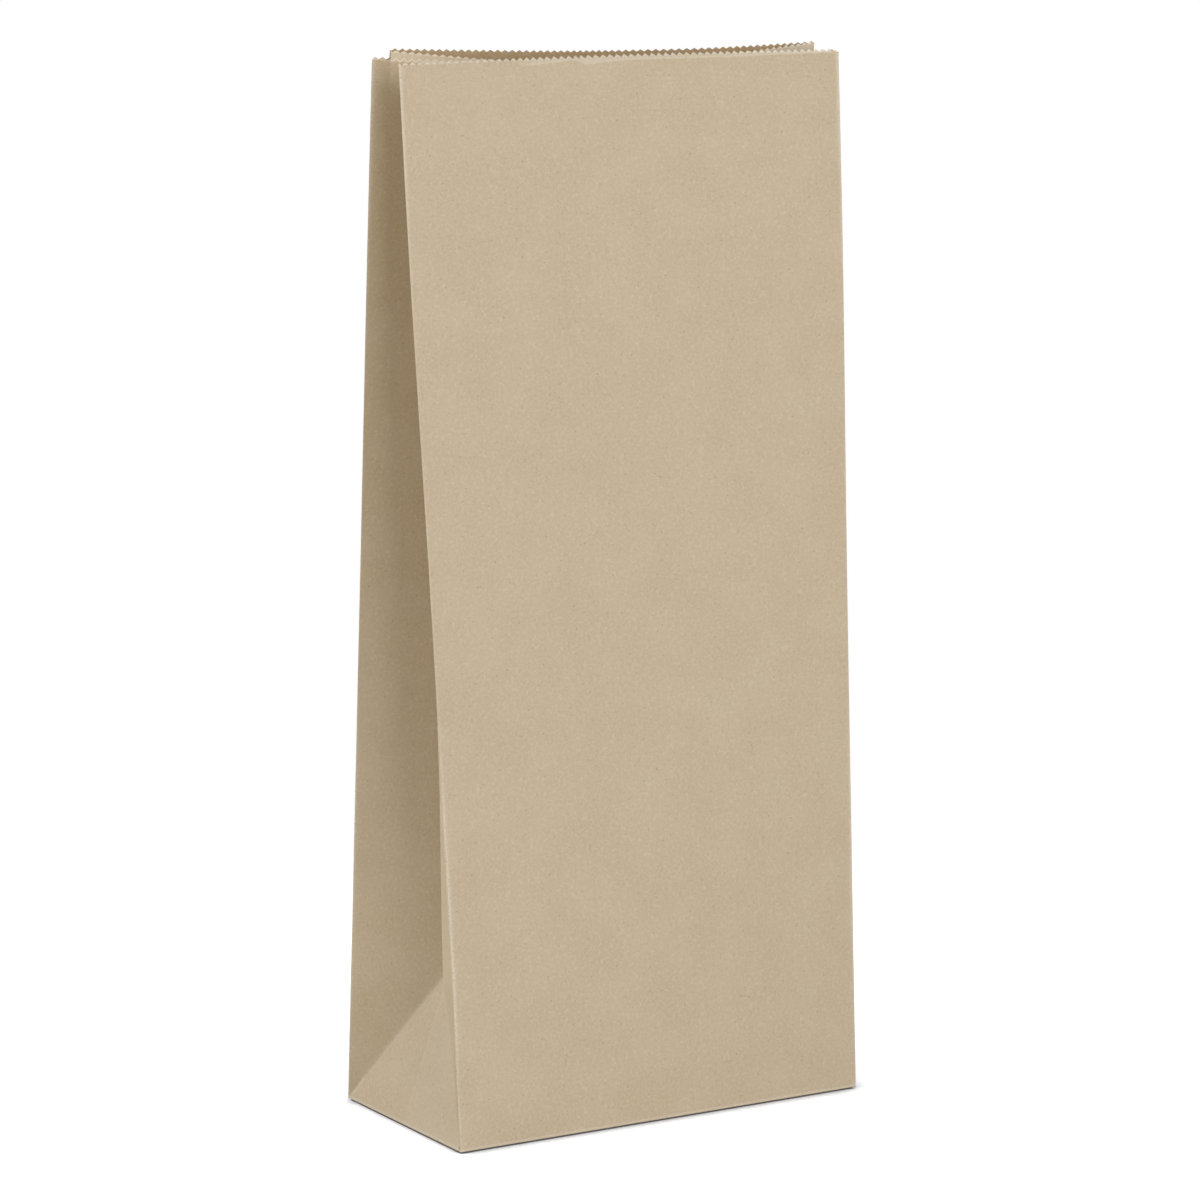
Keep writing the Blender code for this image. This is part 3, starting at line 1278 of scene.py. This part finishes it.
@dataclass(frozen=True)
class Patches:
    """A soft noise: its patches' size in millimetres, finer layers, a seed and how it twists."""

    size: float
    detail: float
    seed: float
    warp: float = 0.0


@dataclass(frozen=True)
class Fibre:
    """One layer of short curled fibres: the curls' size, a seed, and the level where they show."""

    size: float
    seed: float
    level: float

    def curls(self) -> Patches:
        """The noise whose contour lines are the fibres."""
        return Patches(self.size, 0.5, self.seed, 0.9)

    def breaks(self) -> Patches:
        """The noise that breaks the fibres up."""
        return Patches(self.size * 0.6, 1.0, self.seed + 31.0)


@dataclass(frozen=True)
class KraftFinish:
    """Uncoated brown kraft paper, with fibres, clouds, specks and pale broken folds, and with
    painted highlights, painted shade and a painted glow on the lips.
    """

    paper: Colour = linear(197, 180, 153)
    # The inner side: darker and browner, partly the paper's rougher inner face and partly painted
    # shade of the bag's inside.
    inside: Colour = linear(190, 161, 121)
    dark_fibre: Colour = linear(168, 147, 116)
    light_fibre: Colour = linear(218, 205, 183)
    speck: Colour = linear(140, 112, 76)
    worn: Colour = linear(226, 215, 196)
    inner_span: Pair = (0.6, 1.0)
    # Painted shade: a browner tint on the gussets, for light bounced inside their shaded pockets.
    gusset_tint: Colour = (1.0, 0.98, 0.92, 1.0)
    # Painted light: the raised lips glow by emission, and less so below them, where the lamps leave
    # them too dark.
    lip_glow: Colour = (0.085, 0.072, 0.056, 1.0)
    below_lip: tuple[float, float, float] = (10.0, 2.0, 0.7)
    light_fibres: tuple[Fibre, ...] = (Fibre(1.9, 5.0, 0.50), Fibre(2.6, 23.0, 0.52))
    dark_fibres: Fibre = Fibre(2.2, 71.0, 0.54)
    fibre_line: Pair = (0.075, 0.020)
    noise_roughness: float = 0.55
    mottle: Patches = Patches(0.8, 3.0, 11.0)
    cloud: Patches = Patches(15.0, 2.0, 47.0)
    grain: Patches = Patches(0.5, 2.0, 83.0)
    mottle_span: Pair = (0.25, 0.75)
    mottle_share: float = 0.24
    light_share: float = 0.23
    dark_share: float = 0.24
    cloud_span: Pair = (0.3, 0.7)
    cloud_share: float = 0.10
    speck_share: float = 0.34
    speck_size: Pair = (0.042, 0.016)
    speck_scale: float = 0.125
    hole_share: float = 0.9
    hole_size: Pair = (0.60, 0.30)
    specular: float = 0.25
    roughness: float = 0.86
    rough_mottle: float = 0.08
    relief: tuple[float, float, float] = (0.5, 0.35, 0.25)
    relief_strength: float = 0.35
    relief_height: float = 0.00008
    wear: Wear = Wear()
    pinhole: Pair = (0.0, 0.0)

    def noise(self, nodes: Nodes, flat: Value, patches: Patches) -> Value:
        """Soft noise over the sheet.

        Args:
            nodes: The material's nodes.
            flat: Coordinates on the flat sheet, in millimetres.
            patches: The noise's kind.

        Returns:
            A value round 0.5.
        """
        seed = patches.seed
        turned = {"Vector": flat, "Location": (seed, seed * 1.3, 0.0), "Rotation": (0.0, 0.0, seed)}
        inputs = {
            "Vector": nodes.add("ShaderNodeMapping", {}, turned),
            "Scale": 1.0 / patches.size,
            "Detail": patches.detail,
            "Roughness": self.noise_roughness,
            "Distortion": patches.warp,
        }
        return nodes.add("ShaderNodeTexNoise", {"noise_dimensions": "2D"}, inputs)

    def fibres(self, nodes: Nodes, flat: Value, fibre: Fibre) -> Value:
        """Thin contour lines of a warped noise, broken up by another.

        Args:
            nodes: The material's nodes.
            flat: Coordinates on the flat sheet, in millimetres.
            fibre: The layer.

        Returns:
            1 on a fibre and 0 beside it.
        """
        contour = self.noise(nodes, flat, fibre.curls()) - 0.5
        broken = self.noise(nodes, flat, fibre.breaks())
        shown = broken.between(fibre.level, fibre.level + 0.10)
        return contour.maths("ABSOLUTE").between(*self.fibre_line) * shown

    def specks(self, nodes: Nodes, flat: Value) -> Value:
        """Where the few dark specks are.

        Args:
            nodes: The material's nodes.
            flat: Coordinates on the flat sheet, in millimetres.

        Returns:
            Their strength.
        """
        inputs = {"Vector": flat, "Scale": self.speck_scale, "Randomness": 1.0}
        settings = {"voronoi_dimensions": "2D", "feature": "F1"}
        dots = nodes.add("ShaderNodeTexVoronoi", settings, inputs)
        return dots.between(*self.speck_size) * self.speck_share

    def hole(self, nodes: Nodes, flat: Value) -> Value:
        """Where the tiny hole beside the left front fold is.

        Args:
            nodes: The material's nodes.
            flat: Coordinates on the flat sheet, in millimetres.

        Returns:
            Its strength.
        """
        away = nodes.vector("SUBTRACT", {0: flat, 1: (*self.pinhole, 0.0)})
        away = nodes.vector("MULTIPLY", {0: away, 1: (0.5, 1.0, 0.0)})
        return nodes.vector("LENGTH", {0: away}, "Value").between(*self.hole_size) * self.hole_share

    def material(self) -> bpy.types.Material:
        """The paper's material.

        Returns:
            The material.
        """
        nodes = Nodes(bpy.data.materials.new("kraft_paper"))
        uv = nodes.add("ShaderNodeUVMap", {"uv_map": "UVMap"})
        flat = nodes.vector("SCALE", {"Vector": uv, "Scale": FLAT_SCALE / MM})
        height = nodes.add("ShaderNodeSeparateXYZ", {}, {"Vector": flat}, "Y")
        mottle, cloud, grain = (
            self.noise(nodes, flat, patches) for patches in (self.mottle, self.cloud, self.grain)
        )
        first, second = (self.fibres(nodes, flat, fibre) for fibre in self.light_fibres)
        light = first + second
        dark = self.fibres(nodes, flat, self.dark_fibres)
        inner = nodes.stored("inner").between(*self.inner_span)
        shade = nodes.stored("shade")
        colour = nodes.mix(inner, self.paper, self.inside)
        # Painted shade: the gussets over the bottom triangles are tinted browner, for light bounced
        # in their pockets.
        colour = nodes.mix(nodes.stored("gusset"), colour, self.gusset_tint, "MULTIPLY")
        layers = (
            (mottle.between(*self.mottle_span) * self.mottle_share, self.dark_fibre),
            (light.maths("MINIMUM", 1.0) * self.light_share, self.light_fibre),
            (dark * self.dark_share, self.dark_fibre),
            # Painted shade on the strip beside the left front fold, and painted light on its
            # triangle.
            (shade.maths("MAXIMUM", 0.0), self.dark_fibre),
            ((-shade).maths("MAXIMUM", 0.0), self.light_fibre),
            (self.hole(nodes, flat), self.speck),
            (cloud.between(*self.cloud_span) * self.cloud_share, self.light_fibre),
            (self.specks(nodes, flat), self.speck),
            # Pale folds and creases, and the painted highlights on edges, margin and lips.
            (self.wear.share(nodes, height, grain, 1.0 - inner), self.worn),
        )
        for share, tone in layers:
            colour = nodes.mix(share, colour, tone)
        # Painted light on the gussets' raised lips: emission that fades out below them.
        lip = nodes.stored("lip")
        below = lip.between(*self.below_lip[:2]) * self.below_lip[2]
        lip_light_share = lip.between(*self.wear.lip_span).maths("MAXIMUM", below)
        bumps = mottle * self.relief[0] + light * self.relief[1] + grain * self.relief[2]
        relief = {
            "Strength": self.relief_strength, "Distance": self.relief_height, "Height": bumps,
        }
        inputs = {
            "Base Color": colour,
            "Roughness": self.roughness + mottle * self.rough_mottle,
            "Specular IOR Level": self.specular,
            "Emission Color": nodes.mix(lip_light_share * (1.0 - inner), BLACK, self.lip_glow),
            "Emission Strength": 1.0,
            "Normal": nodes.add("ShaderNodeBump", {}, relief),
        }
        shader = nodes.add("ShaderNodeBsdfPrincipled", {}, inputs)
        nodes.add("ShaderNodeOutputMaterial", {}, {"Surface": shader})
        return nodes.owner


@dataclass(frozen=True)
class Softbox:
    """A square soft light that faces the bag."""

    name: str
    place: tuple[float, float, float]
    size: float
    power: float

    def build(self) -> None:
        """Adds the light."""
        data = bpy.data.lights.new(self.name, "AREA")
        data.shape, data.size, data.energy = "SQUARE", self.size, self.power
        light = bpy.data.objects.new(self.name, data)
        bpy.context.scene.collection.objects.link(light)
        light.location = self.place
        toward = Vector(BAG_MIDDLE) - Vector(self.place)
        light.rotation_euler = toward.to_track_quat("-Z", "Y").to_euler()


SOFTBOXES = (
    Softbox("front_softbox", (0.0, -1.8, 0.5), 1.2, 18.4),
    Softbox("top_softbox", (0.0, 0.0, 1.9), 1.5, 9.3),
    Softbox("left_back_softbox", (-1.3, 1.3, 0.5), 1.2, 25.6),
    Softbox("left_high_softbox", (-1.2, -0.2, 1.4), 1.2, 2.3),
    Softbox("front_high_softbox", (0.2, -1.2, 1.4), 1.2, 6.2),
    Softbox("left_front_softbox", (-1.3, -1.3, 0.5), 1.2, 3.5),
)


@dataclass(frozen=True)
class Studio:
    """Floor, lights, world and camera."""

    floor_size: float = 12.0
    floor_drop: float = 0.00005
    floor_grey: Colour = (0.80, 0.80, 0.80, 1.0)
    floor_seen: float = 1.95
    floor_tint: tuple[float, float, float] = (1.00, 1.06, 1.15)
    floor_lift: float = 0.10
    lift_tint: Colour = (1.0, 0.90, 0.80, 1.0)
    shadow_reach: float = 0.008
    shadow_span: Pair = (0.25, 1.0)
    sweep_span: Pair = (0.20, 0.42)
    world_light: float = 0.03
    softboxes: tuple[Softbox, ...] = SOFTBOXES
    focal_pixels: float = 4500.0
    frame_pixels: float = 1200.0
    sensor: float = 36.0
    centre_pixels: Pair = (607.6, 602.4)
    camera_yaw: float = 0.5628
    camera_pitch: float = 0.1378
    camera_roll: float = 0.0073
    camera_distance: float = 1.26307
    camera_target: tuple[float, float, float] = (0.0022037, 0.0, 0.14059)

    def build_floor(self) -> None:
        """A pale floor, seen white but for the bag's contact shadow, that turns into a sweep."""
        bpy.ops.object.select_all(action="DESELECT")
        bpy.ops.mesh.primitive_plane_add(size=self.floor_size, location=(0.0, 0.0, 0.0))
        floor = bpy.context.object
        floor.name = "studio_floor"
        floor.data.transform(Matrix.Translation((0.0, 0.0, -self.floor_drop)))
        nodes = Nodes(bpy.data.materials.new("studio_white"))
        camera, mirror = (
            nodes.add("ShaderNodeLightPath", {}, (), name)
            for name in ("Is Camera Ray", "Is Glossy Ray")
        )
        seen = camera.maths("MAXIMUM", mirror)
        # Painted contact shadow: ambient occlusion darkens the floor's seen colour beside the bag,
        # on top of the lamps' own shadows; the bluish floor tint keeps it from looking warm.
        reach = {"Distance": self.shadow_reach}
        near = nodes.add("ShaderNodeAmbientOcclusion", {"samples": 12}, reach, "AO")
        bright = near.between(*self.shadow_span, "LINEAR") * self.floor_seen
        white = nodes.add("ShaderNodeCombineColor", {}, [bright * tint for tint in self.floor_tint])
        colour = nodes.mix(seen, self.floor_grey, white)
        lit = nodes.add("ShaderNodeBsdfDiffuse", {}, {"Color": colour})
        # A warm glow on the seen floor, which keeps the painted contact line light and brownish.
        lift = {"Color": self.lift_tint, "Strength": seen * self.floor_lift}
        glow = nodes.add("ShaderNodeEmission", {}, lift)
        both = nodes.add("ShaderNodeAddShader", {}, (lit, glow))
        sweep = nodes.add("ShaderNodeEmission", {}, {"Strength": 1.0})
        away = nodes.vector("LENGTH", {0: nodes.place()}, "Value")
        far = away.between(*self.sweep_span) * seen
        surface = nodes.add("ShaderNodeMixShader", {}, (far, both, sweep))
        nodes.add("ShaderNodeOutputMaterial", {}, {"Surface": surface})
        floor.data.materials.append(nodes.owner)

    def build_world(self) -> None:
        """A little even light from all round, seen as plain white."""
        nodes = Nodes(bpy.data.worlds.new("studio_world"))
        bpy.context.scene.world = nodes.owner
        seen = nodes.add("ShaderNodeLightPath", {}, (), "Is Camera Ray")
        share = {"Value": seen, "To Min": self.world_light, "To Max": 1.0}
        light = {"Color": WHITE, "Strength": nodes.add("ShaderNodeMapRange", {}, share)}
        surface = nodes.add("ShaderNodeBackground", {}, light)
        nodes.add("ShaderNodeOutputWorld", {}, {"Surface": surface})

    def build_camera(self) -> None:
        """The camera, where the picture was taken from."""
        yaw, pitch, roll = self.camera_yaw, self.camera_pitch, self.camera_roll
        level = math.cos(pitch)
        forward = Vector((math.sin(yaw) * level, math.cos(yaw) * level, -math.sin(pitch)))
        right = Vector((math.cos(yaw), -math.sin(yaw), 0.0))
        down = forward.cross(right)
        across = math.cos(roll) * right + math.sin(roll) * down
        below = -math.sin(roll) * right + math.cos(roll) * down
        target = Vector(self.camera_target) + Vector((0.0, 0.0, SheetSizes.base_lift))
        place = target - self.camera_distance * forward
        data = bpy.data.cameras.new("picture_camera")
        data.sensor_width = self.sensor
        data.lens = self.focal_pixels / self.frame_pixels * self.sensor
        data.shift_x = (self.frame_pixels / 2 - self.centre_pixels[0]) / self.frame_pixels
        data.shift_y = (self.centre_pixels[1] - self.frame_pixels / 2) / self.frame_pixels
        data.clip_start, data.clip_end = 0.05, 50.0
        camera = bpy.data.objects.new("picture_camera", data)
        bpy.context.scene.collection.objects.link(camera)
        turn = Matrix((across, -below, -forward)).transposed().to_4x4()
        camera.matrix_world = Matrix.Translation(place) @ turn
        bpy.context.scene.camera = camera

    def build(self) -> None:
        """Sets the whole studio up."""
        self.build_floor()
        self.build_world()
        for softbox in self.softboxes:
            softbox.build()
        self.build_camera()
        bpy.context.scene.view_settings.view_transform = "Standard"
        LOG.info("studio: floor, world, %d lights and camera", len(self.softboxes))


@dataclass
class LunchBag:
    """The whole bag: its folded sheet and its block bottom, dressed in kraft paper."""

    form: BagForm = field(default_factory=BagForm)
    finish: KraftFinish = field(default_factory=KraftFinish)

    def build(self) -> list[bpy.types.Object]:
        """Builds and dresses every piece.

        Returns:
            The pieces.
        """
        sheet = FoldedSheet(self.form)
        pieces = [sheet.build(), *BlockBottom(self.form).build()]
        paper = replace(self.finish, pinhole=sheet.pinhole()).material()
        for piece in pieces:
            piece.data.materials.clear()
            piece.data.materials.append(paper)
            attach(piece, "root")
            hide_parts(CAD_NODE)
            LOG.info("%s: %d faces", piece.name, len(piece.data.polygons))
        return pieces


def main() -> None:
    """Builds the bag and its studio."""
    LunchBag().build()
    Studio().build()


if __name__ == "__main__":
    main()
